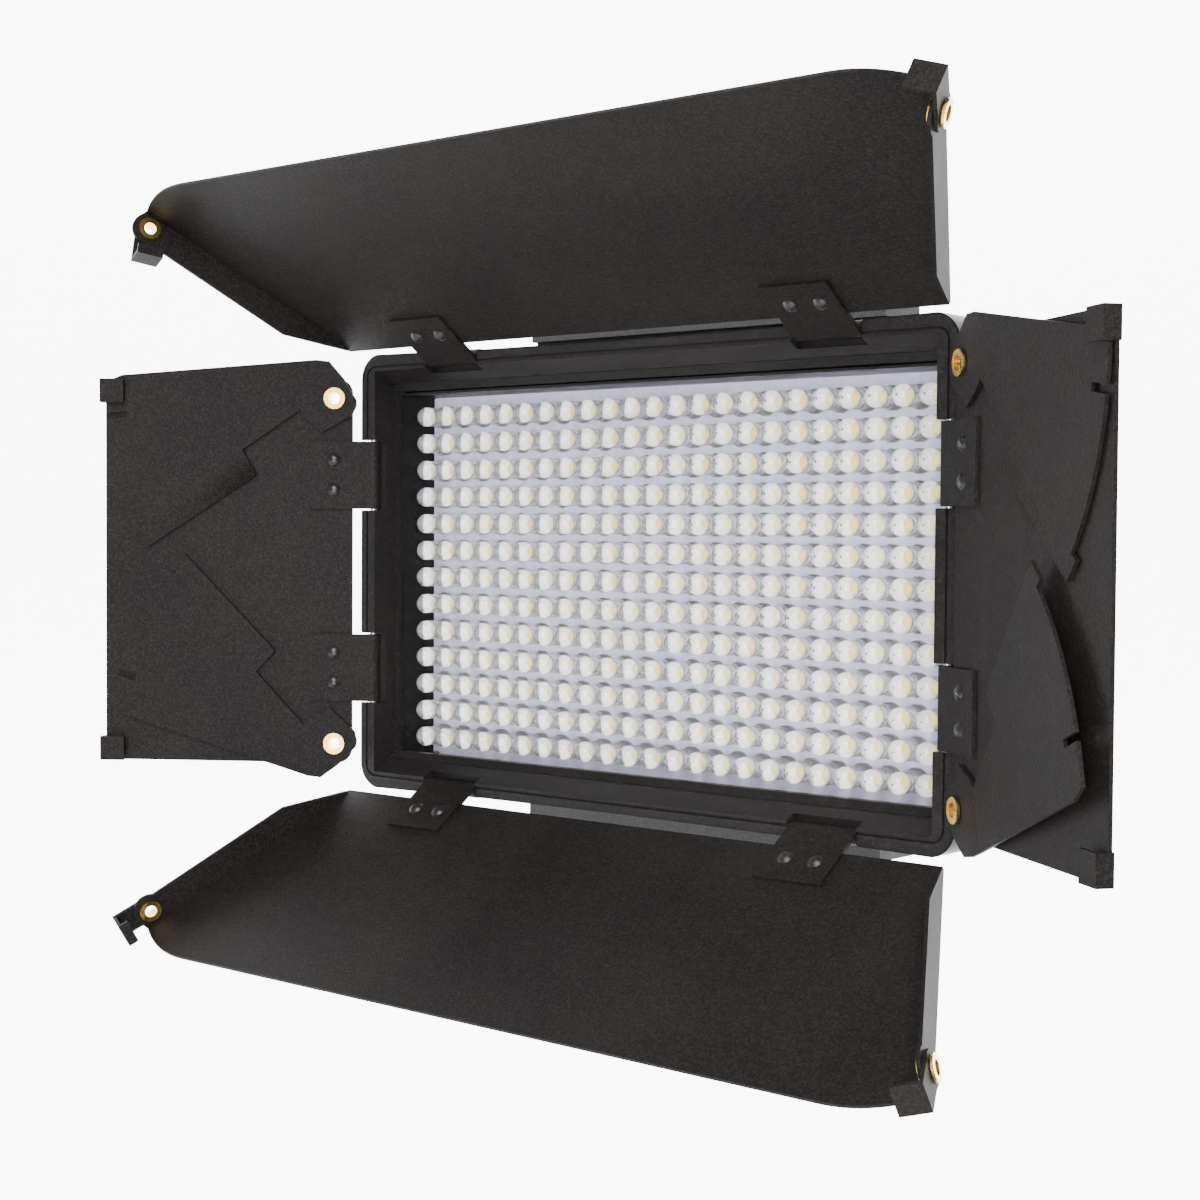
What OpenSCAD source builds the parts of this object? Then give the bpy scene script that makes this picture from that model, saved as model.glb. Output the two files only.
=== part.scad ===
// LED panel light with four barn doors. Millimetres, +Z up, the light faces -Y.
// The origin is the mouth of the tripod thread under the housing.
// Every sub-part is drawn about the middle of the frame, with the centres of the LED domes at y = 0,
// and stand() then lifts it onto the origin.

/* [LED field] */
// Columns of LEDs, side by side
led_cols = 24; // [8:2:32]
// Rows of LEDs, one above the other
led_rows = 13; // [5:1:21]
// Spacing of the LEDs both ways
led_pitch = 7; // [6.2:0.1:9]
// Diameter of one LED body
led_d = 5; // [3:0.1:6]
// Height of one LED above its board
led_h = 10.1; // [8:0.1:12]
// How far the field sits below the middle of the frame
field_drop = 1.45; // [0:0.05:3]

/* [Frame] */
// Width of the frame beyond the LED field, both sides together
frame_extra_w = 11; // [9:0.2:20]
// Height of the frame beyond the LED field, both sides together
frame_extra_h = 21.2; // [18:0.2:40]
// Rim of the frame in front of the LED domes
frame_front = 15; // [13:0.5:24]
// Depth of the frame from its rim to its back edge
frame_depth = 17; // [14:0.5:26]
// How far the long sides of the frame are drawn in at their middle
frame_waist = 1; // [0:0.1:2]
// Length of the joining rails on the housing
rail_len = 108; // [40:1:140]

/* [Doors] */
// Thickness of the door sheets
sheet_t = 0.8; // [0.6:0.05:1.4]
// Length of the side doors, hinge edge to outer edge
side_len = 66; // [40:0.5:80]
// Height of the side doors
side_h = 100; // [70:1:110]
// Angle of the side doors in front of the frame's plane
side_angle = 35; // [20:1:60]
// Length of the top and bottom doors
long_len = 62.4; // [40:0.2:80]
// Angle of the top and bottom doors in front of the frame's plane
long_angle = 54; // [30:1:70]
// Flare of the ends of the top and bottom doors
flare = 25; // [10:1:35]
// Width of the folded ends of the top and bottom doors
fold_w = 7.6; // [6:0.2:12]

/* [Hinges] */
// Width of one hinge bracket
bracket_w = 17.4; // [12:0.2:24]
// Length of a bracket from its pin to its outer end
bracket_len = 16.6; // [15:0.5:22]
// Diameter of the hinge pins
pin_d = 1.6; // [1.2:0.1:2]
// Diameter of a rivet head
rivet_d = 3.6; // [2.5:0.1:4.5]

/* [Wings and clips] */
// Diameter of an eyelet's barrel
eyelet_d = 4; // [3:0.1:5]
// Turn of the left upper wing towards the middle of its door
wing_turn_lu = 0; // [-20:0.5:12]
// Turn of the left lower wing
wing_turn_ll = 13; // [-20:0.5:16]
// Turn of the right upper wing
wing_turn_ru = 4.5; // [-20:0.5:12]
// Turn of the right lower wing
wing_turn_rl = 15.5; // [-20:0.5:16]
// Tilt of the right lower wing, which has sprung out of its hook
wing_lift = 3.6; // [0:0.1:5]
// Width of a swivel clip
clip_w = 6.4; // [5:0.2:8]

/* [Housing] */
// Depth of the housing behind the LED board
housing_depth = 27; // [22:0.5:50]
// Wall of the housing
wall = 1.6; // [1.2:0.1:2.4]
// Diameter of the control knobs
knob_d = 15; // [10:0.5:20]
// Radius of the tripod thread
thread_r = 3.175; // [3.175:0.001:4.8]

/* [Hidden] */
$fn = 48;
gap = 0.3;
fit = 0.05;

field_w = led_cols * led_pitch;
field_h = led_rows * led_pitch;
frame_w = field_w + frame_extra_w;
frame_h = field_h + frame_extra_h;
rim_long = 4.3;
mouth_w = field_w + 0.4;
mouth_h = field_h + 6.6;
open_w = field_w - 0.2;
open_h = field_h + 2.8;
ledge_y = -(frame_front - 5.5);
board_y = led_h - led_d / 2;
board_t = 1.6;
back_y = board_y + board_t + housing_depth;

// Hinges: the pin's place, and the heights of the door's sheets above it
hinge_front = frame_front - 1.65;
side_axis = frame_w / 2 - 3.1;
long_axis = frame_h / 2 - 2.2;
pin_r = pin_d / 2;
knuckle_r = pin_r + 0.2 + sheet_t;
leaf_z = knuckle_r - 2 * sheet_t;
face_z = leaf_z + sheet_t;
notch_w = bracket_w + 0.8;
pin_len = notch_w + 5.6;
side_brackets = side_h / 4;
long_brackets = field_w * 0.337;
side_edge = 5.4;
long_edge = 6.2;
rivet_gap = 7.8;

// Wings
eyelet_x = side_edge + 4.4;
eyelet_y = side_h / 2 - 5.2;
wing_r = side_len - 4.8;
wing_z = face_z + gap;
hook_z = face_z + 1.9;
eyelet_bore = eyelet_d / 2 - 0.5;

// Ends of the top and bottom doors
long_half = field_w / 2 + 5.4;
fold_len = long_len / cos(flare);
clip_at = fold_len - 10.5;
clip_in = clip_w / 2 + 1;

// Housing: its outside, the parts that fit inside it, and the light well
body_w = frame_w - 1;
body_h = frame_h - 2 * frame_waist - 1;
body_y = frame_depth - frame_front + gap;
inner_w = body_w - 2 * wall - 2 * gap;
inner_h = body_h - 2 * wall - 2 * gap;
well_w = field_w + 3;
well_h = field_h + 3.8;
foot_y = 19;
rail_deep = 14;
foot_z = -body_h / 2 - 8.8;
plate_y = board_y + board_t + 1.4;
driver_y = plate_y + 9;
knob_x = body_w / 2 - 22;
bay_x = -8;
bay_w = 42;
bay_h = 72;

black = [0.06, 0.06, 0.065];
graphite = [0.12, 0.12, 0.13];
grey = [0.33, 0.33, 0.34];
steel = [0.62, 0.63, 0.65];
brass = [0.80, 0.62, 0.28];
white = [0.88, 0.88, 0.95];

// ---- shared shapes ----

module stand() translate([0, -foot_y, -foot_z]) children();

module rounded(w, h, r) {
    translate([r - w / 2, -h / 2]) square([w - 2 * r, h]);
    translate([-w / 2, r - h / 2]) square([w, h - 2 * r]);
    for (x = [-1, 1], y = [-1, 1]) translate([x * (w / 2 - r), y * (h / 2 - r)]) circle(r);
}

// A block with a rounded outline in the XZ plane, from y0 back to y1
module slab(w, h, r, y0, y1) translate([0, y1, 0]) rotate([90, 0, 0]) linear_extrude(y1 - y0) rounded(w, h, r);

// A round bar along Y, from y0 back to y1
module bar(r, y0, y1) translate([0, y1, 0]) rotate([90, 0, 0]) cylinder(h = y1 - y0, r = r);

module at_leds(first) {
    for (c = [first : 2 : led_cols - 1], r = [0 : led_rows - 1])
        translate([(c - (led_cols - 1) / 2) * led_pitch, 0, (r - (led_rows - 1) / 2) * led_pitch - field_drop])
            children();
}

module led() {
    dome = led_d / 2;
    translate([0, board_y, 0]) rotate([90, 0, 0]) rotate_extrude() difference() {
        union() {
            square([dome + 0.35, 1]);
            square([dome, led_h - dome]);
            translate([0, led_h - dome]) circle(dome);
        }
        translate([-led_d, -led_d]) square([led_d, led_h + 2 * led_d]);
    }
}

// Door space: x runs outwards from the hinge pin, y along it, z towards the inside of the doors
module side_space() translate([side_axis, -hinge_front, 0]) rotate([0, 0, -side_angle]) rotate([90, 0, 0]) children();
module long_space() rotate([0, -90, 0]) translate([long_axis, -hinge_front, 0])
    rotate([0, 0, -long_angle]) rotate([90, 0, 0]) children();

module to_left() mirror([1, 0, 0]) children();
module to_bottom() mirror([0, 0, 1]) children();

// ---- hinges ----

// Cuts the seats for the brackets of one edge of the frame
module hinge_notches(axis, spread) {
    for (s = [-1, 1]) translate([axis, -hinge_front, s * spread]) {
        translate([-3.4, -6, -notch_w / 2]) cube([12, 6 + knuckle_r + 0.4, notch_w]);
        translate([0, 0, -pin_len / 2]) cylinder(h = pin_len, r = pin_r);
    }
}

module pins(axis, spread) {
    for (s = [-1, 1]) translate([axis, -hinge_front, s * spread - pin_len / 2]) cylinder(h = pin_len, r = pin_r);
}

// One bracket: a knuckle round the pin and a plate along the inside of the door
module bracket() {
    rotate([90, 0, 0]) translate([0, 0, -bracket_w / 2]) linear_extrude(bracket_w) difference() {
        union() {
            circle(knuckle_r);
            translate([0, face_z]) square([bracket_len, sheet_t]);
        }
        circle(pin_r + fit);
    }
}

module brackets(spread) {
    for (s = [-1, 1]) translate([0, s * spread, 0]) difference() {
        bracket();
        at_rivets() cylinder(h = 4 * sheet_t, r = 1 + fit);
    }
}

module at_rivets() for (s = [-1, 1]) translate([eyelet_x + 0.4, s * rivet_gap / 2, leaf_z - 0.5]) children();

module rivet() {
    grip = 2 * sheet_t + 0.5;
    rotate_extrude() {
        square([1, grip + 0.2]);
        square([rivet_d / 2, 0.5]);
        translate([0, grip]) intersection() {
            translate([0, -rivet_d * 0.375]) circle(rivet_d * 0.625);
            square([rivet_d / 2, rivet_d / 2]);
        }
    }
}

module rivets(spread) for (s = [-1, 1]) translate([0, s * spread, 0]) at_rivets() rivet();

// ---- side doors ----

module at_eyelets() for (s = [-1, 1]) translate([eyelet_x, s * eyelet_y, 0]) children();

// A tab folded over at an outer corner, which a wing slides under
module hook() {
    reach = side_edge + side_len;
    lip = 6.4;
    translate([reach - 0.1, 0, leaf_z]) cube([sheet_t + 0.1, 6.2, hook_z - leaf_z + sheet_t]);
    translate([reach + sheet_t - lip, 0, hook_z]) cube([lip, 6.2, sheet_t]);
}

module side_outline() {
    translate([side_edge + side_len / 2, 0]) rounded(side_len, side_h, 4);
    translate([side_edge + side_len / 2, -side_h / 2]) square([side_len / 2, side_h]);
}

module side_door() {
    difference() {
        union() {
            translate([0, 0, leaf_z]) linear_extrude(sheet_t) side_outline();
            translate([0, side_h / 2 - 6.2, 0]) hook();
            translate([0, -side_h / 2, 0]) hook();
        }
        at_eyelets() translate([0, 0, leaf_z - 1]) cylinder(h = 4, r = eyelet_d / 2);
        for (s = [-1, 1]) translate([0, s * side_brackets, 0]) at_rivets() cylinder(h = 4, r = 1 + fit);
    }
}

// A hollow eyelet through a fixed sheet and the swinging sheet on top of it
module eyelet() {
    grip = 2 * sheet_t + 2 * gap;
    flange_r = eyelet_d / 2 + 0.75;
    rotate_extrude() difference() {
        union() {
            translate([0, -0.5]) square([flange_r, 0.5]);
            square([eyelet_d / 2 - fit, grip]);
            translate([0, grip]) square([flange_r, 0.5]);
        }
        translate([0, -1]) square([eyelet_bore, grip + 2]);
    }
}

module side_eyelets() at_eyelets() translate([0, 0, leaf_z]) eyelet();

// Outline of a wing about its eyelet: x out along the door, y towards the door's middle
module wing_outline() {
    k = wing_r / 61.2; // the outline is drawn for a radius of 61.2
    difference() {
        union() {
            intersection() {
                circle(wing_r, $fn = 180);
                polygon([[-5.6, 0.4], [-2.2, -5.2], [1.6, -9.6], [5, -10], [57 * k, -6.2 * k], [62 * k, -4 * k],
                    [62 * k, 22 * k], [56.6 * k, 38 * k], [50 * k, 38.8 * k], [20.8 * k, 19.8 * k],
                    [24.6 * k, 13.3 * k], [9.3, 3], [7.6, 5.4], [3.4, 8.8], [-4.4, 4.4], [-5.6, 2]]);
            }
            polygon([[51.4 * k, 33.6 * k], [53.2 * k, 34.6 * k], [50 * k, 38.8 * k], [47 * k, 36.8 * k]]);
        }
        circle(eyelet_d / 2 + fit);
        rotate(4.2) translate([wing_r - 5.4, -0.8]) square([8, 1.6]);
    }
}

module wing(turn, tilt) {
    bend = 9.5;
    // a lifted wing is bent across its root, just past the eyelet
    translate([eyelet_x, eyelet_y, wing_z]) mirror([0, 1, 0]) rotate([0, 0, turn]) {
        if (tilt == 0) linear_extrude(sheet_t) wing_outline();
        else {
            linear_extrude(sheet_t) intersection() {
                wing_outline();
                translate([-20, -40]) square([20 + bend, 80]);
            }
            translate([bend, 0, 0]) rotate([0, -tilt, 0]) translate([-bend, 0, 0])
                linear_extrude(sheet_t) intersection() {
                    wing_outline();
                    translate([bend - 0.05, -40]) square([80, 100]);
                }
        }
    }
}

module lower() mirror([0, 1, 0]) children();

// ---- top and bottom doors ----

module long_outline() {
    far = long_half + long_len * tan(flare);
    reach = long_edge + long_len;
    corner = 34;
    flat = long_half + 5;
    intersection() {
        polygon([[long_edge, -long_half], [reach, -far], [reach, far], [long_edge, long_half]]);
        union() {
            translate([0, -flat]) square([reach, 2 * flat]);
            translate([0, -far]) square([reach - corner, 2 * far]);
            for (s = [-1, 1]) translate([reach - corner, s * flat]) circle(corner, $fn = 120);
        }
    }
}

// The end of a door: x along the fold, y in from the sheet, z out past the end of the door
module fold_space(side) translate([long_edge, side * long_half, leaf_z]) rotate([0, 0, side * flare])
    mirror([0, side > 0 ? 1 : 0, 0]) rotate([90, 0, 0]) children();

module fold_outline() {
    difference() {
        union() {
            polygon([[0.6, 0.2], [0.6, 1], [17, fold_w], [clip_at, fold_w], [clip_at + 4.2, clip_in],
                [clip_at + 3, 0.2]]);
            translate([clip_at, clip_in]) circle(4.3);
        }
        translate([clip_at, clip_in]) circle(eyelet_d / 2);
    }
}

module long_door() {
    difference() {
        translate([0, 0, leaf_z]) linear_extrude(sheet_t) long_outline();
        for (s = [-1, 1]) translate([0, s * long_brackets, 0]) at_rivets() cylinder(h = 4, r = 1 + fit);
    }
    for (s = [-1, 1]) fold_space(s) translate([0, 0, 0.03 - sheet_t]) linear_extrude(sheet_t) intersection() {
        fold_outline();
        translate([0, 0.2]) square([fold_len, 2 * fold_w]);
    }
}

// Places a clip or an eyelet on the outside of one folded end
module at_clip(side) fold_space(side) translate([clip_at, clip_in, 0]) children();

module long_eyelets() for (s = [-1, 1]) at_clip(s) translate([0, 0, -sheet_t]) eyelet();

// A swivel clip: a strap outside the fold, with an end that turns in past the fold's edge
module clip(turn) {
    out = 8.8;
    deep = 5.2;
    rotate([0, 0, turn]) {
        difference() {
            translate([0, 0, gap]) union() {
                cylinder(h = sheet_t, r = clip_w / 2 + 0.4);
                translate([0, -clip_w / 2, 0]) cube([out, clip_w, sheet_t]);
            }
            cylinder(h = 4, r = eyelet_d / 2 + fit);
        }
        translate([out - sheet_t, -clip_w / 2, -deep]) cube([sheet_t, clip_w, deep + gap + sheet_t]);
        translate([out - 2.6, -clip_w / 2, -deep]) cube([2.6, clip_w, sheet_t]);
    }
}

// ---- frame ----

module frame_outline(inset) {
    w = frame_w / 2 - inset;
    h = frame_h / 2 - inset;
    waist = h - frame_waist;
    near = h - frame_waist * 0.75;
    intersection() {
        rounded(2 * w, 2 * h, 6.5 - inset);
        polygon([[-w, -h], [-w / 2, -near], [0, -waist], [w / 2, -near], [w, -h],
            [w, h], [w / 2, near], [0, waist], [-w / 2, near], [-w, h]]);
    }
}

module door_frame() {
    difference() {
        translate([0, frame_depth - frame_front, 0]) rotate([90, 0, 0]) {
            linear_extrude(frame_depth) frame_outline(0.3);
            linear_extrude(frame_depth - 0.4) frame_outline(0);
        }
        // the mouth, its sloped long sides, and the room behind for the light
        slab(mouth_w, mouth_h, 1.5, -frame_front - 1, ledge_y + 1);
        for (s = [0, 1]) mirror([0, 0, s]) translate([-mouth_w / 2, 0, 0]) rotate([90, 0, 90])
            linear_extrude(mouth_w) polygon([[-frame_front - 1, 0], [-frame_front - 1, frame_h / 2 - rim_long],
                [-frame_front, frame_h / 2 - rim_long], [ledge_y, mouth_h / 2], [ledge_y, 0]]);
        slab(inner_w + 2 * gap, inner_h + 2 * gap, 2, ledge_y, frame_depth);
        // a fine groove round the rim
        difference() {
            slab(frame_w - 4.4, frame_h - 2 * frame_waist - 4, 3, -frame_front - 1, -frame_front + 0.6);
            slab(frame_w - 5.6, frame_h - 2 * frame_waist - 5.2, 2.4, -frame_front - 2, -frame_front + 2);
        }
        for (s = [0, 1]) mirror([s, 0, 0]) hinge_notches(side_axis, side_brackets);
        for (s = [0, 1]) mirror([0, 0, s]) rotate([0, -90, 0]) hinge_notches(long_axis, long_brackets);
    }
}

module hinge_pins() {
    for (s = [0, 1]) mirror([s, 0, 0]) pins(side_axis, side_brackets);
    for (s = [0, 1]) mirror([0, 0, s]) rotate([0, -90, 0]) pins(long_axis, long_brackets);
}

// ---- light ----

module front_bezel() {
    difference() {
        slab(inner_w, inner_h, 2, ledge_y, board_y);
        slab(open_w, open_h, 1.5, ledge_y - 1, board_y + 1);
        // the bevel round the opening, then the room for the well
        slab(open_w + 1.2, mouth_h, 1.5, ledge_y - 1, ledge_y + 0.8);
        for (s = [0, 1]) mirror([0, 0, s]) translate([-open_w / 2 - 0.6, 0, 0]) rotate([90, 0, 90])
            linear_extrude(open_w + 1.2) polygon([[ledge_y + 0.7, 0], [ledge_y + 0.7, mouth_h / 2],
                [ledge_y + 2.2, open_h / 2], [ledge_y + 2.2, 0]]);
        translate([0, 0, -field_drop]) slab(well_w + 0.8, well_h + 1.6, 1, ledge_y + 4, board_y + 1);
    }
}

module light_well() translate([0, 0, -field_drop]) difference() {
    slab(well_w + 0.4, well_h + 1.2, 1, ledge_y + 4, board_y);
    slab(well_w - 0.4, well_h, 0.6, ledge_y + 3, board_y + 1);
}

module led_board() {
    difference() {
        slab(inner_w - 1, inner_h - 1, 2, board_y, board_y + board_t);
        at_corners() bar(1.6, board_y - 1, board_y + 4);
    }
}

module at_corners() for (x = [-1, 1], z = [-1, 1])
    translate([x * (inner_w / 2 - 3), 0, z * (inner_h / 2 - 3)]) children();

module heat_plate() {
    slab(field_w - 8, field_h - 6, 3, board_y + board_t, plate_y);
    for (i = [-8 : 8]) translate([i * (field_w - 24) / 16 - 0.6, plate_y - 0.01, -field_h * 0.36])
        cube([1.2, 5, field_h * 0.72]);
}

module standoffs() at_corners() difference() {
    bar(2.4, board_y + board_t, back_y - wall);
    bar(1.25, board_y + board_t - 1, back_y);
}

module driver_board() {
    slab(field_w * 0.62, field_h * 0.55, 1.5, driver_y, driver_y + 1.6);
    for (x = [-36, -12, 18]) translate([x, driver_y + 1.59, 6]) cube([10, 3.4, 10]);
    for (x = [-26, 4, 34]) translate([x, driver_y + 1.59, -12]) bar(3.4, 0, 5);
    // the legs that carry it on the heat plate
    for (x = [-1, 1], z = [-1, 1]) translate([x * (field_w * 0.31 - 4), 0, z * (field_h * 0.27 - 4)])
        bar(2, plate_y, driver_y + 0.01);
}

module rear_housing() {
    difference() {
        union() {
            slab(body_w, body_h, 5, body_y, back_y - 2.5);
            slab(body_w - 5, body_h - 5, 4, back_y - 2.51, back_y);
        }
        slab(body_w - 2 * wall, body_h - 2 * wall, 3, body_y - 1, back_y - wall);
        for (z = [-24, 24]) translate([knob_x, 0, z]) bar(3.4, back_y - 5, back_y + 1);
        translate([-knob_x, 0, 30]) slab(10, 18, 1, back_y - 5, back_y + 1);
        translate([knob_x, 0, 0]) bar(2.8, back_y - 5, back_y + 1);
        translate([-knob_x, 0, -26]) bar(5.4, back_y - 5, back_y + 1);
        for (i = [0 : 3]) translate([-knob_x, 0, 12 - i * 6]) bar(1.8, back_y - 5, back_y + 1);
        at_corners() bar(1.5, back_y - 5, back_y + 1);
        // vents beside the rails, top and bottom
        for (i = [0 : 3], s = [-1, 1], t = [-1, 1])
            translate([s * (rail_len / 2 + 6 + i * 5) - 1, foot_y - 6, t * body_h / 2 - 4]) cube([2, 12, 8]);
    }
}

module housing_screws() at_corners() {
    bar(1.2, back_y - 12, back_y + 0.2);
    difference() {
        bar(2.5, back_y + 0.01, back_y + 1.6);
        translate([-0.4, back_y + 0.9, -1.8]) cube([0.8, 2, 3.6]);
        translate([-1.8, back_y + 0.9, -0.4]) cube([3.6, 2, 0.8]);
    }
}

// A rail of T section along the housing, for joining two lights edge to edge
module rail() {
    high = -body_h / 2 - foot_z;
    translate([-rail_len / 2, foot_y - rail_deep / 2 + 2, body_h / 2]) cube([rail_len, rail_deep - 4, high - 1]);
    translate([-rail_len / 2, foot_y - rail_deep / 2, body_h / 2 + high - 4]) cube([rail_len, rail_deep, 4]);
}

module bottom_rail() difference() {
    to_bottom() rail();
    translate([0, foot_y, foot_z - 1]) cylinder(h = 8.6, r = 5);
}

module tripod_insert() translate([0, foot_y, foot_z]) difference() {
    cylinder(h = 7.6, r = 5);
    translate([0, 0, -1]) cylinder(h = 7.6, r = thread_r);
}

// ---- back of the housing ----

module battery_plate() {
    translate([bay_x, 0, 0]) difference() {
        slab(bay_w, bay_h, 2.5, back_y, back_y + 5);
        slab(bay_w - 9, bay_h - 9, 1.5, back_y + 2, back_y + 6);
        // the groove for the battery's rails, open at the top
        translate([-bay_w / 2 + 2.4, back_y + 2, -bay_h / 2 + 6]) cube([bay_w - 4.8, 1.6, bay_h]);
        translate([0, back_y + 2.5, -bay_h / 2 - 1]) translate([9, 0, 0]) cube([6.4, 3, 7]);
    }
}

module battery_contacts() translate([bay_x, 0, 0]) for (i = [-1 : 1])
    translate([i * 9 - 0.4, back_y + 2, -6]) cube([0.8, 2.6, 12]);

module battery_release() translate([bay_x + 9.2, back_y + 2.7, -bay_h / 2 - 1.6]) {
    cube([6, 2.2, 9]);
    translate([0, 0.6, -1.4]) cube([6, 2.6, 3]);
}

module knob() {
    difference() {
        union() {
            bar(knob_d / 2, back_y + 0.8, back_y + 10);
            for (a = [0 : 15 : 345]) rotate([0, a, 0]) translate([knob_d / 2, 0, 0]) bar(0.45, back_y + 1.6, back_y + 9.2);
        }
        bar(3.05, back_y - 1, back_y + 7);
        translate([-0.6, back_y + 9.2, 1.5]) cube([1.2, 2, knob_d / 2 - 2.5]);
    }
}

module brightness_knob() translate([knob_x, 0, 24]) knob();
module colour_knob() translate([knob_x, 0, -24]) knob();

module knob_pots() for (z = [-24, 24]) translate([knob_x, 0, z]) {
    bar(3, back_y - wall - 0.01, back_y + 6.8);
    slab(12, 12, 1.5, back_y - wall - 7, back_y - wall);
}

module switch_body() translate([-knob_x, 0, 30]) difference() {
    union() {
        slab(12.6, 20.6, 1.5, back_y, back_y + 1);
        slab(9.6, 17.6, 1, back_y - 9, back_y + 0.5);
    }
    slab(6.8, 14.8, 0.6, back_y - 7.5, back_y + 2);
    translate([-4, back_y - 1.2, 0]) rotate([0, 90, 0]) cylinder(h = 8, r = 1 + fit);
}

// A rocker on a cross pin, resting with its lower half pressed
module power_switch() translate([-knob_x, back_y - 1.2, 30]) {
    rotate([6, 0, 0]) rotate([0, 90, 0]) translate([0, 0, -3.1]) linear_extrude(6.2)
        polygon([[-6.8, -2], [6.8, -2], [6.8, 2.7], [0, 3.4], [-6.8, 2.7]]);
    translate([-3.9, 0, 0]) rotate([0, 90, 0]) cylinder(h = 7.8, r = 1);
}

module test_button() translate([knob_x, 0, 0]) {
    bar(2.4, back_y - wall - 1, back_y + 1.6);
    bar(3.6, back_y - wall - 2.2, back_y - wall - 0.3);
}

module indicator_lights() for (i = [0 : 3]) translate([-knob_x, 0, 12 - i * 6])
    bar(1.5, back_y - wall - 1, back_y + 0.4);

module power_inlet() translate([-knob_x, 0, -26]) difference() {
    union() {
        bar(5.1, back_y - wall - 8, back_y + 0.6);
        bar(6.4, back_y, back_y + 1.2);
    }
    bar(2.8, back_y - wall - 6, back_y + 2);
}

// ---- nodes ----

color(black) stand() door_frame();
color(grey) stand() rail();  // top_rail
color(grey) stand() bottom_rail();
color(graphite) stand() front_bezel();
color(black) stand() light_well();
color(white) stand() led_board();
color([1, 0.80, 0.50]) stand() at_leds(1) led();  // leds_warm
color([0.95, 0.97, 1]) stand() at_leds(0) led();  // leds_cool
color(steel) stand() heat_plate();
color(brass) stand() standoffs();
color([0.05, 0.3, 0.15]) stand() driver_board();
color(graphite) stand() rear_housing();
color(steel) stand() housing_screws();
color(brass) stand() tripod_insert();
color(black) stand() battery_plate();
color(brass) stand() battery_contacts();
color(graphite) stand() battery_release();
color(black) stand() brightness_knob();
color(black) stand() colour_knob();
color(steel) stand() knob_pots();
color(graphite) stand() switch_body();
color(black) stand() power_switch();
color(graphite) stand() test_button();
color([0.9, 0.2, 0.1]) stand() indicator_lights();
color(black) stand() power_inlet();
color(steel) stand() hinge_pins();

color(black) stand() long_space() long_door();  // top_door
color(black) stand() long_space() brackets(long_brackets);  // top_brackets
color(graphite) stand() long_space() rivets(long_brackets);  // top_rivets
color(brass) stand() long_space() long_eyelets();  // top_eyelets
color(black) stand() to_bottom() long_space() long_door();  // bottom_door
color(black) stand() to_bottom() long_space() brackets(long_brackets);  // bottom_brackets
color(graphite) stand() to_bottom() long_space() rivets(long_brackets);  // bottom_rivets
color(brass) stand() to_bottom() long_space() long_eyelets();  // bottom_eyelets
color(black) stand() to_left() side_space() side_door();  // left_door
color(black) stand() to_left() side_space() brackets(side_brackets);  // left_brackets
color(graphite) stand() to_left() side_space() rivets(side_brackets);  // left_rivets
color(brass) stand() to_left() side_space() side_eyelets();  // left_eyelets
color(black) stand() side_space() side_door();  // right_door
color(black) stand() side_space() brackets(side_brackets);  // right_brackets
color(graphite) stand() side_space() rivets(side_brackets);  // right_rivets
color(brass) stand() side_space() side_eyelets();  // right_eyelets

color(black) stand() to_left() side_space() wing(wing_turn_lu, 0);  // left_upper_wing
color(black) stand() to_left() side_space() lower() wing(wing_turn_ll, 0);  // left_lower_wing
color(black) stand() side_space() wing(wing_turn_ru, 0);  // right_upper_wing
color(black) stand() side_space() lower() wing(wing_turn_rl, wing_lift);  // right_lower_wing

color(graphite) stand() long_space() at_clip(1) clip(112);  // top_left_clip
color(graphite) stand() long_space() at_clip(-1) clip(3);  // top_right_clip
color(graphite) stand() to_bottom() long_space() at_clip(1) clip(3);  // bottom_left_clip
color(graphite) stand() to_bottom() long_space() at_clip(-1) clip(12);  // bottom_right_clip
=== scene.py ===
import math

import bmesh
import bpy
from mathutils import Matrix, Vector


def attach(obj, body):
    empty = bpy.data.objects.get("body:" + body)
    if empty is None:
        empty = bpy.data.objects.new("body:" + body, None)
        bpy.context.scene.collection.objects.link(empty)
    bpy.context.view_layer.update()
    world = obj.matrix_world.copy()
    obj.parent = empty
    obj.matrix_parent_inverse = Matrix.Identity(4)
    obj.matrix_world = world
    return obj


MM = 0.001
SEED = 11

# The CAD's own sizes, in millimetres about the middle of the light field
LED_COLS, LED_ROWS, LED_PITCH = 24, 13, 7.0
FIELD_DROP = 1.45
ORIGIN_Y, ORIGIN_Z = -19.0, 63.4

# The camera, in the same space
CAMERA_AT = (308.6, -377.0, 10.55)
CAMERA_YAW, CAMERA_PITCH, CAMERA_ROLL = 41.057, 1.888, 0.357
CAMERA_LENS, SENSOR_WIDTH = 61.53, 36.0

# How deep the grain's relief reads, in metres
RELIEF = 0.0001
EPOXY_IOR = 1.45

# Smooth faces part at edges sharper than this
SMOOTH_BELOW = math.radians(35)

# How far an LED may stand turned about its own axis, in radians
LED_TURN = 0.35

# The paper sweep, in metres: its front, where it starts to bend, the bend's radius, its top, half its width
SWEEP_FRONT, BEND_START, BEND_RADIUS, SWEEP_TOP, SWEEP_HALF = -4.0, 1.6, 1.2, 5.0, 5.0
SWEEP_HEIGHT = -0.30


def at(x, y, z):
    """A point measured about the light field, in the row frame."""
    return Vector((x, y + ORIGIN_Y, z + ORIGIN_Z)) * MM


# ---- node helpers ----

def link(tree, output, socket):
    tree.links.new(output, socket)


def add(tree, kind, inputs=(), **settings):
    """Adds a node; inputs are (socket, value or output) pairs."""
    node = tree.nodes.new(kind)
    for name, value in settings.items():
        setattr(node, name, value)
    for socket, value in inputs:
        if isinstance(value, bpy.types.NodeSocket):
            tree.links.new(value, node.inputs[socket])
        else:
            node.inputs[socket].default_value = value
    return node


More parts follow.
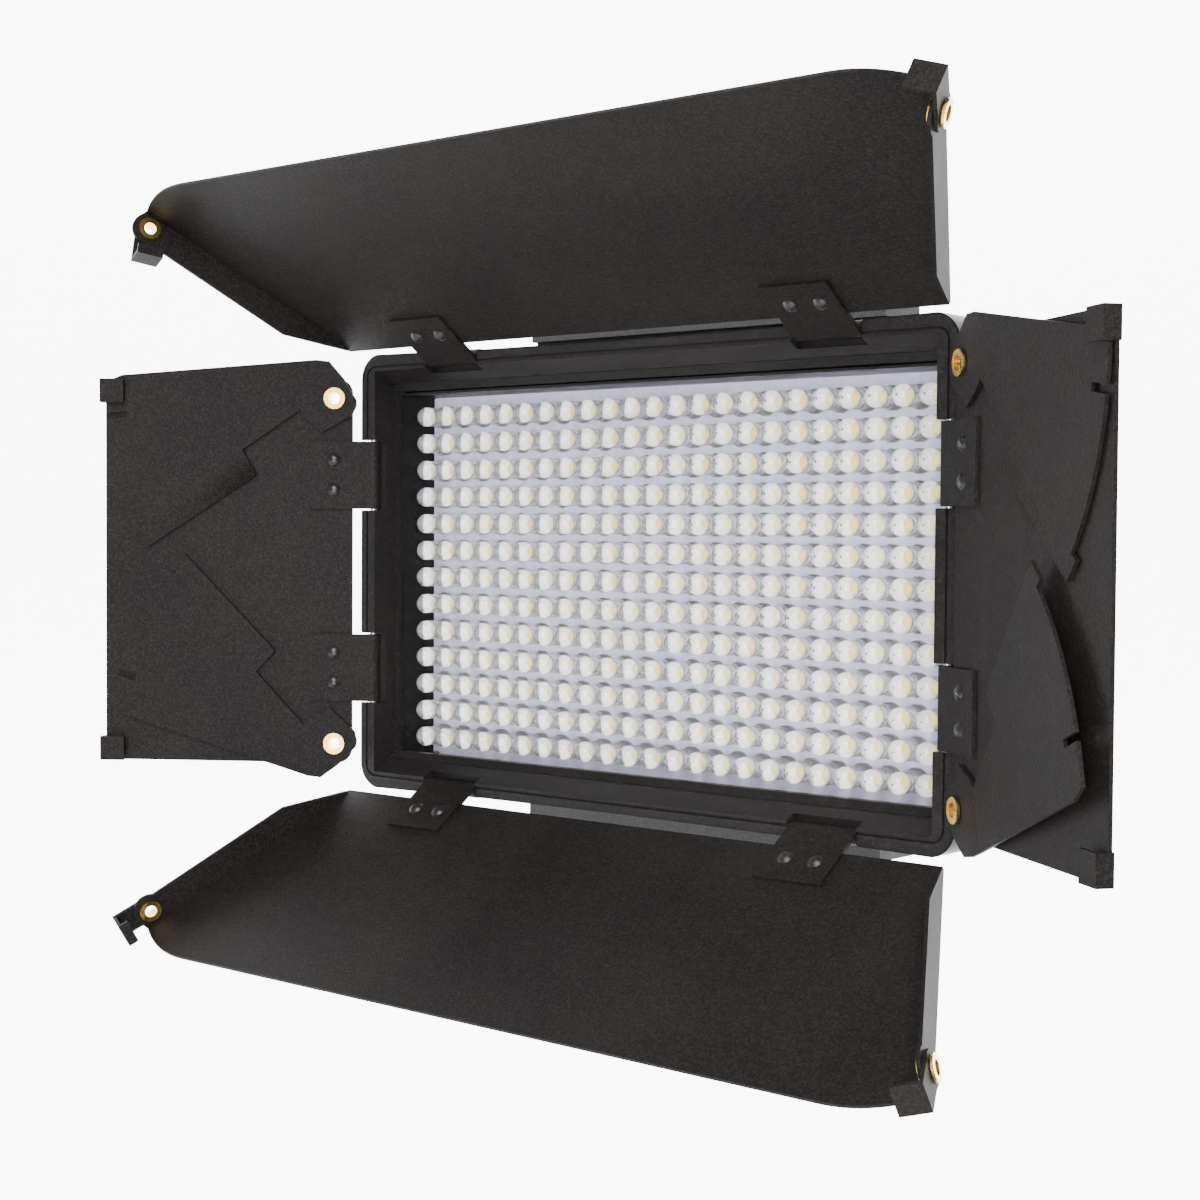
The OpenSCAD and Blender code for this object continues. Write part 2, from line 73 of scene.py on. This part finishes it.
def shader_group(name, inputs, outputs):
    group = bpy.data.node_groups.new(name, "ShaderNodeTree")
    for label, default in inputs:
        socket = group.interface.new_socket(label, in_out="INPUT", socket_type="NodeSocketFloat")
        socket.default_value = default
    for label in outputs:
        group.interface.new_socket(label, in_out="OUTPUT", socket_type="NodeSocketFloat")
    return group, group.nodes.new("NodeGroupInput"), group.nodes.new("NodeGroupOutput")


def math_node(tree, operation, a, b=0.0, clamp=False):
    return add(tree, "ShaderNodeMath", [(0, a), (1, b)], operation=operation, use_clamp=clamp).outputs[0]


def make_grain():
    """Fine powder-coat grain: a speckle mask, a height for the bump and broad blotches."""
    group, source, sink = shader_group(
        "Grain", [("Grain per mm", 2.2), ("Blotches per m", 28.0)], ["Speckle", "Height", "Blotch"])
    place = add(group, "ShaderNodeTexCoord").outputs["Object"]
    per_metre = math_node(group, "MULTIPLY", source.outputs[0], 1000.0)
    fine = add(group, "ShaderNodeTexNoise", [("Vector", place), ("Scale", per_metre), ("Detail", 3.0),
                                             ("Roughness", 0.65)])
    pits = add(group, "ShaderNodeTexVoronoi", [("Vector", place), ("Scale", per_metre)], feature="F1")
    broad = add(group, "ShaderNodeTexNoise", [("Vector", place), ("Scale", source.outputs[1]),
                                              ("Detail", 4.0)])
    speckle = add(group, "ShaderNodeMapRange", [("Value", fine.outputs[0]), ("From Min", 0.42),
                                                ("From Max", 0.72)])
    height = math_node(group, "ADD", fine.outputs[0], pits.outputs["Distance"])
    blotch = add(group, "ShaderNodeMapRange", [("Value", broad.outputs[0]), ("From Min", 0.3),
                                               ("From Max", 0.7)])
    for output, socket in ((speckle.outputs[0], 0), (height, 1), (blotch.outputs[0], 2)):
        group.links.new(output, sink.inputs[socket])
    return group


def make_scuffs():
    """Sparse rubbed streaks, as a mask."""
    group, source, sink = shader_group("Scuffs", [("Streaks per m", 60.0), ("Cover", 0.35)], ["Scuff"])
    place = add(group, "ShaderNodeTexCoord").outputs["Object"]
    stretch = add(group, "ShaderNodeMapping", [("Vector", place), ("Scale", (1.0, 4.0, 0.35))])
    streak = add(group, "ShaderNodeTexNoise", [("Vector", stretch.outputs[0]), ("Scale", source.outputs[0]),
                                               ("Detail", 6.0), ("Roughness", 0.7)])
    edge = math_node(group, "SUBTRACT", 1.0, source.outputs[1])
    low = math_node(group, "SUBTRACT", edge, 0.12)
    mask = add(group, "ShaderNodeMapRange", [("Value", streak.outputs[0]), ("From Min", low),
                                             ("From Max", edge)])
    group.links.new(mask.outputs[0], sink.inputs[0])
    return group


GRAIN = make_grain()
SCUFFS = make_scuffs()


def coated(name, dark, light, rough, grain=2.2, bump=0.25, metallic=0.0, spread=0.12, scuff=0.15,
           specular=0.5, **fixed):
    """A finish made of two colours spread by the grain, with uneven roughness and rubbed streaks."""
    material = bpy.data.materials.new(name)
    material.use_nodes = True
    tree = material.node_tree
    surface = tree.nodes["Principled BSDF"]
    body = add(tree, "ShaderNodeGroup", node_tree=GRAIN)
    body.inputs["Grain per mm"].default_value = grain
    rub = add(tree, "ShaderNodeGroup", node_tree=SCUFFS)
    amount = math_node(tree, "ADD", math_node(tree, "MULTIPLY", body.outputs["Speckle"], 0.75),
                       math_node(tree, "MULTIPLY", body.outputs["Blotch"], 0.25))
    colour = add(tree, "ShaderNodeMix", [("Factor", amount)], data_type="RGBA")
    colour.inputs[6].default_value = (*dark, 1)
    colour.inputs[7].default_value = (*light, 1)
    uneven = math_node(tree, "MULTIPLY_ADD", body.outputs["Blotch"], spread)
    uneven.node.inputs[2].default_value = rough - spread / 2
    rubbed = math_node(tree, "MULTIPLY", rub.outputs["Scuff"], scuff)
    link(tree, math_node(tree, "SUBTRACT", uneven, rubbed, clamp=True), surface.inputs["Roughness"])
    link(tree, colour.outputs[2], surface.inputs["Base Color"])
    relief = add(tree, "ShaderNodeBump", [("Height", body.outputs["Height"]), ("Strength", bump),
                                          ("Distance", RELIEF)])
    link(tree, relief.outputs[0], surface.inputs["Normal"])
    surface.inputs["Metallic"].default_value = metallic
    surface.inputs["Specular IOR Level"].default_value = specular
    for socket, value in fixed.items():
        surface.inputs[socket.replace("_", " ")].default_value = value
    return material


def lens_material(name, tint, haze):
    """Cast epoxy: mostly clear, slightly milky, with an uneven gloss."""
    material = bpy.data.materials.new(name)
    material.use_nodes = True
    tree = material.node_tree
    surface = tree.nodes["Principled BSDF"]
    body = add(tree, "ShaderNodeGroup", node_tree=GRAIN)
    body.inputs["Grain per mm"].default_value = 0.6
    rough = math_node(tree, "MULTIPLY_ADD", body.outputs["Blotch"], 0.06)
    rough.node.inputs[2].default_value = 0.04
    link(tree, rough, surface.inputs["Roughness"])
    colour = add(tree, "ShaderNodeMix", [("Factor", body.outputs["Speckle"])], data_type="RGBA")
    colour.inputs[6].default_value = (*tint, 1)
    colour.inputs[7].default_value = (1, 1, 1, 1)
    link(tree, colour.outputs[2], surface.inputs["Base Color"])
    surface.inputs["Transmission Weight"].default_value = 1.0 - haze
    surface.inputs["IOR"].default_value = EPOXY_IOR
    return material


# ---- load the frame ----

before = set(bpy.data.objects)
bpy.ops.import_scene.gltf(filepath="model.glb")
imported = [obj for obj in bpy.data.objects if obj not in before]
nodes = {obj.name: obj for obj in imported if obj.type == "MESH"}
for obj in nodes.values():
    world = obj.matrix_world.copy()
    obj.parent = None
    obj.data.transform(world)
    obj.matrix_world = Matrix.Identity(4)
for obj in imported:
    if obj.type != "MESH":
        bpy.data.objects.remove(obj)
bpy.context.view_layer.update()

POWDER = coated("powder coat", (0.0016, 0.0014, 0.0013), (0.0165, 0.0138, 0.0125), 0.62, grain=1.7, bump=0.5,
                spread=0.06, scuff=0.03, specular=0.10)
FRAME_PAINT = coated("frame enamel", (0.005, 0.0046, 0.0045), (0.017, 0.015, 0.0145), 0.40, grain=1.4,
                     bump=0.25, scuff=0.05, specular=0.10)
MOULDED = coated("moulded black", (0.004, 0.004, 0.004), (0.011, 0.011, 0.011), 0.5, grain=1.2, bump=0.12,
                 specular=0.25)
WELL = coated("well black", (0.004, 0.004, 0.0045), (0.012, 0.0115, 0.0125), 0.38, grain=1.0, bump=0.06,
              specular=0.2)
# the rails' lighter grey is painted light: it stands in for light falling on the rails from above
LIT_RAIL = coated("rail painted lit grey", (0.045, 0.045, 0.046), (0.085, 0.085, 0.087), 0.55, grain=1.6, specular=0.2)
RIVET = coated("black rivet", (0.004, 0.004, 0.004), (0.016, 0.014, 0.013), 0.34, bump=0.1, specular=0.3)
KNOB = coated("soft knob", (0.010, 0.010, 0.010), (0.024, 0.024, 0.024), 0.7, grain=1.0, bump=0.1)
BRASS = coated("brass", (0.60, 0.38, 0.09), (0.86, 0.62, 0.22), 0.25, grain=0.7, bump=0.03, metallic=1.0)
STEEL = coated("bright steel", (0.42, 0.42, 0.43), (0.66, 0.66, 0.67), 0.3, grain=0.8, bump=0.03,
               metallic=1.0)
HEAT = coated("raw aluminium", (0.55, 0.56, 0.57), (0.75, 0.76, 0.78), 0.4, grain=0.5, bump=0.05,
              metallic=1.0)
BOARD = coated("white solder mask", (0.64, 0.62, 0.86), (0.84, 0.82, 0.98), 0.35, grain=0.35, bump=0.05)
GREEN = coated("green solder mask", (0.01, 0.07, 0.03), (0.03, 0.16, 0.08), 0.4, grain=0.5, bump=0.05)
RED = coated("tinted lamp", (0.35, 0.02, 0.01), (0.6, 0.05, 0.03), 0.2, grain=0.6, bump=0.02)
WARM_LENS = lens_material("warm lens", (1.0, 0.99, 0.97), 0.16)
COOL_LENS = lens_material("cool lens", (0.98, 0.98, 1.0), 0.16)
CUP = coated("lead frame", (0.95, 0.95, 0.96), (1.0, 1.0, 1.0), 0.4, grain=0.8, bump=0.03)
WARM_CHIP = coated("warm phosphor", (0.95, 0.62, 0.10), (1.0, 0.80, 0.26), 0.5, grain=2.0, bump=0.05)
COOL_CHIP = coated("cool phosphor", (0.97, 0.78, 0.24), (1.0, 0.88, 0.42), 0.5, grain=2.0, bump=0.05)

FINISH = {
    "door_frame": FRAME_PAINT, "top_rail": LIT_RAIL, "bottom_rail": LIT_RAIL, "front_bezel": FRAME_PAINT,
    "light_well": WELL, "led_board": BOARD, "leds_warm": WARM_LENS, "leds_cool": COOL_LENS,
    "heat_plate": HEAT, "standoffs": BRASS, "driver_board": GREEN, "rear_housing": MOULDED,
    "housing_screws": STEEL, "tripod_insert": BRASS, "battery_plate": MOULDED, "battery_contacts": BRASS,
    "battery_release": KNOB, "brightness_knob": KNOB, "colour_knob": KNOB, "knob_pots": STEEL,
    "switch_body": MOULDED, "power_switch": KNOB, "test_button": KNOB, "indicator_lights": RED,
    "power_inlet": MOULDED, "hinge_pins": STEEL,
}
BY_ENDING = {
    "door": POWDER, "brackets": POWDER, "wing": POWDER, "clip": POWDER, "rivets": RIVET, "eyelets": BRASS,
}

for name, node in nodes.items():
    ending = name.rsplit("_", 1)[-1]
    node.data.materials.clear()
    node.data.materials.append(FINISH.get(name) or BY_ENDING[ending])
    for face in node.data.polygons:
        face.use_smooth = True
    smooth = node.modifiers.new("smooth by angle", "EDGE_SPLIT")
    smooth.split_angle = SMOOTH_BELOW


# ---- what sits inside every LED ----

def geometry_group(name, inputs):
    group = bpy.data.node_groups.new(name, "GeometryNodeTree")
    kinds = {int: "NodeSocketInt", float: "NodeSocketFloat", bpy.types.Material: "NodeSocketMaterial",
             bpy.types.Object: "NodeSocketObject"}
    identifiers = {}
    for label, kind in inputs:
        socket = group.interface.new_socket(label, in_out="INPUT", socket_type=kinds[kind])
        identifiers[label] = socket.identifier
    group.interface.new_socket("Geometry", in_out="OUTPUT", socket_type="NodeSocketGeometry")
    return group, identifiers


def make_array_group():
    """Copies a small piece onto every second column of the LED field."""
    group, names = geometry_group("LED array", [
        ("Piece", bpy.types.Object), ("Columns", int), ("Rows", int), ("Pitch", float),
        ("Material", bpy.types.Material)])
    source = group.nodes.new("NodeGroupInput")
    sink = group.nodes.new("NodeGroupOutput")
    out = source.outputs

    def value(operation, a, b):
        return math_node(group, operation, a, b)

    wide = value("MULTIPLY", value("SUBTRACT", out["Columns"], 1.0), value("MULTIPLY", out["Pitch"], 2.0))
    high = value("MULTIPLY", value("SUBTRACT", out["Rows"], 1.0), out["Pitch"])
    grid = add(group, "GeometryNodeMeshGrid", [("Size X", wide), ("Size Y", high),
                                               ("Vertices X", out["Columns"]), ("Vertices Y", out["Rows"])])
    upright = add(group, "GeometryNodeTransform", [("Geometry", grid.outputs[0]),
                                                   ("Rotation", (math.pi / 2, 0, 0))])
    piece = add(group, "GeometryNodeObjectInfo", [("Object", out["Piece"])])
    turn = add(group, "FunctionNodeRandomValue", [("Seed", SEED)], data_type="FLOAT")
    turn.inputs[2].default_value = -LED_TURN
    turn.inputs[3].default_value = LED_TURN
    spin = add(group, "ShaderNodeCombineXYZ", [("Y", turn.outputs[1])])
    spread = add(group, "GeometryNodeInstanceOnPoints", [("Points", upright.outputs[0]),
                                                         ("Instance", piece.outputs["Geometry"]),
                                                         ("Rotation", spin.outputs[0])])
    real = add(group, "GeometryNodeRealizeInstances", [("Geometry", spread.outputs[0])])
    done = add(group, "GeometryNodeSetMaterial", [("Geometry", real.outputs[0]),
                                                  ("Material", out["Material"])])
    group.links.new(done.outputs[0], sink.inputs[0])
    return group, names


ARRAY, ARRAY_NAMES = make_array_group()


def lathe(bm, profile, sides=16):
    """Turns (radius, y) points in millimetres round the Y axis."""
    rings = []
    for radius, y in profile:
        rings.append([bm.verts.new(Vector((radius * math.cos(a), y, radius * math.sin(a))) * MM)
                      for a in (2 * math.pi * i / sides for i in range(sides))])
    for one, two in zip(rings, rings[1:]):
        for i in range(sides):
            bm.faces.new((one[i], one[(i + 1) % sides], two[(i + 1) % sides], two[i]))
    bm.faces.new(rings[-1])
    bm.faces.new(list(reversed(rings[0])))


def block(bm, low, high):
    matrix = Matrix.Translation((Vector(low) + Vector(high)) / 2 * MM)
    size = (Vector(high) - Vector(low)) * MM
    bmesh.ops.create_cube(bm, size=1.0, matrix=matrix @ Matrix.Diagonal((*size, 1.0)))


def finish_mesh(name, bm):
    bmesh.ops.recalc_face_normals(bm, faces=bm.faces)
    mesh = bpy.data.meshes.new(name)
    bm.to_mesh(mesh)
    bm.free()
    piece = bpy.data.objects.new(name, mesh)
    bpy.context.scene.collection.objects.link(piece)
    return piece


def cup_piece():
    bm = bmesh.new()
    # the dish that holds the chip, its post, and the second post beside it
    lathe(bm, [(0.4, 7.0), (0.5, 2.9), (1.2, 2.1), (1.75, 1.1), (1.6, 1.0), (0.8, 2.1)], 14)
    block(bm, (1.1, 2.9, -0.3), (1.8, 7.0, 0.3))
    block(bm, (0.8, 2.5, -0.35), (1.9, 2.9, 0.35))
    return finish_mesh("cup piece", bm)


def chip_piece():
    bm = bmesh.new()
    lathe(bm, [(0.66, 2.15), (0.82, 1.6), (0.6, 1.35), (0.2, 1.25)], 12)
    return finish_mesh("chip piece", bm)


def array(name, piece, first, material, body="base"):
    columns = LED_COLS // 2
    holder = bpy.data.objects.new(name + "_source", bpy.data.meshes.new(name))
    bpy.context.scene.collection.objects.link(holder)
    modifier = holder.modifiers.new("array", "NODES")
    modifier.node_group = ARRAY
    for label, value in (("Piece", piece), ("Columns", columns), ("Rows", LED_ROWS),
                         ("Pitch", LED_PITCH * MM), ("Material", material)):
        modifier[ARRAY_NAMES[label]] = value
    bpy.context.view_layer.update()
    evaluated = holder.evaluated_get(bpy.context.evaluated_depsgraph_get())
    mesh = bpy.data.meshes.new_from_object(evaluated)
    middle = (first + columns - 1 - (LED_COLS - 1) / 2) * LED_PITCH
    mesh.transform(Matrix.Translation(at(middle, 0, -FIELD_DROP)))
    bpy.data.objects.remove(holder)
    made = bpy.data.objects.new(name, mesh)
    bpy.context.scene.collection.objects.link(made)
    for face in mesh.polygons:
        face.use_smooth = False
    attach(made, body)
    return made


cup, chip = cup_piece(), chip_piece()
array("cups_cool", cup, 0, CUP)
array("cups_warm", cup, 1, CUP)
array("chips_cool", chip, 0, COOL_CHIP)
array("chips_warm", chip, 1, WARM_CHIP)
for template in (cup, chip):
    bpy.data.objects.remove(template)


# ---- the studio ----

def studio_sweep():
    """A pale floor that curves up behind the light."""
    bm = bmesh.new()
    profile = [(SWEEP_FRONT, 0.0), (BEND_START, 0.0)]
    profile += [(BEND_START + BEND_RADIUS * math.sin(a), BEND_RADIUS - BEND_RADIUS * math.cos(a))
                for a in (math.radians(d) for d in range(10, 91, 10))]
    profile.append((BEND_START + BEND_RADIUS, SWEEP_TOP))
    columns = [[bm.verts.new((x, y, z)) for y, z in profile] for x in (-SWEEP_HALF, SWEEP_HALF)]
    for i in range(len(profile) - 1):
        bm.faces.new((columns[0][i], columns[1][i], columns[1][i + 1], columns[0][i + 1]))
    sweep = finish_mesh("studio_floor", bm)
    turn = Matrix.Rotation(math.radians(CAMERA_YAW), 4, "Z")
    sweep.data.transform(Matrix.Translation((0, 0, SWEEP_HEIGHT)) @ turn)
    for face in sweep.data.polygons:
        face.use_smooth = True
    paper = coated("studio paper", (0.86, 0.86, 0.86), (0.92, 0.92, 0.92), 0.9, grain=0.05, bump=0.0,
                   scuff=0.0, specular=0.1, Emission_Strength=7.0)
    # the paper glows behind the light and stays plain in front of it
    tree = paper.node_tree
    place = add(tree, "ShaderNodeTexCoord").outputs["Object"]
    across = add(tree, "ShaderNodeVectorRotate", [("Vector", place), ("Angle", -math.radians(CAMERA_YAW))],
                 rotation_type="Z_AXIS")
    depth = add(tree, "ShaderNodeSeparateXYZ", [("Vector", across.outputs[0])]).outputs["Y"]
    glow = add(tree, "ShaderNodeMapRange", [("Value", depth), ("From Min", 0.15), ("From Max", 0.5)])
    link(tree, glow.outputs[0], tree.nodes["Principled BSDF"].inputs["Emission Color"])
    sweep.data.materials.append(paper)


def soft_light(name, direction, distance, size, power):
    data = bpy.data.lights.new(name, "AREA")
    data.shape = "RECTANGLE"
    data.size, data.size_y = size
    data.energy = power
    lamp = bpy.data.objects.new(name, data)
    bpy.context.scene.collection.objects.link(lamp)
    middle = at(0, 0, 0)
    lamp.location = middle + Vector(direction).normalized() * distance
    lamp.rotation_euler = (middle - lamp.location).to_track_quat("-Z", "Y").to_euler()


def camera():
    yaw, pitch, roll = (math.radians(a) for a in (CAMERA_YAW, CAMERA_PITCH, CAMERA_ROLL))
    ahead = Vector((-math.sin(yaw) * math.cos(pitch), math.cos(yaw) * math.cos(pitch), -math.sin(pitch)))
    side = ahead.cross(Vector((0, 0, 1))).normalized()
    up = side.cross(ahead)
    right = side * math.cos(roll) + up * math.sin(roll)
    top = up * math.cos(roll) - side * math.sin(roll)
    data = bpy.data.cameras.new("camera")
    data.lens, data.sensor_width = CAMERA_LENS, SENSOR_WIDTH
    data.clip_start = 0.02
    view = bpy.data.objects.new("camera", data)
    bpy.context.scene.collection.objects.link(view)
    turned = Matrix((right, top, -ahead)).transposed().to_4x4()
    view.matrix_world = Matrix.Translation(at(*CAMERA_AT)) @ turned
    bpy.context.scene.camera = view


studio_sweep()
soft_light("key", (0.7, -1.0, 0.9), 1.3, (1.0, 0.8), 38)
soft_light("fill", (-1.2, -1.0, 0.3), 1.5, (1.2, 1.2), 2)
soft_light("front", (0.65, -1.0, -0.1), 1.3, (0.7, 0.7), 24)
camera()

world = bpy.data.worlds.new("studio")
world.use_nodes = True
world.node_tree.nodes["Background"].inputs["Color"].default_value = (1, 1, 1, 1)
world.node_tree.nodes["Background"].inputs["Strength"].default_value = 0.4
bpy.context.scene.world = world
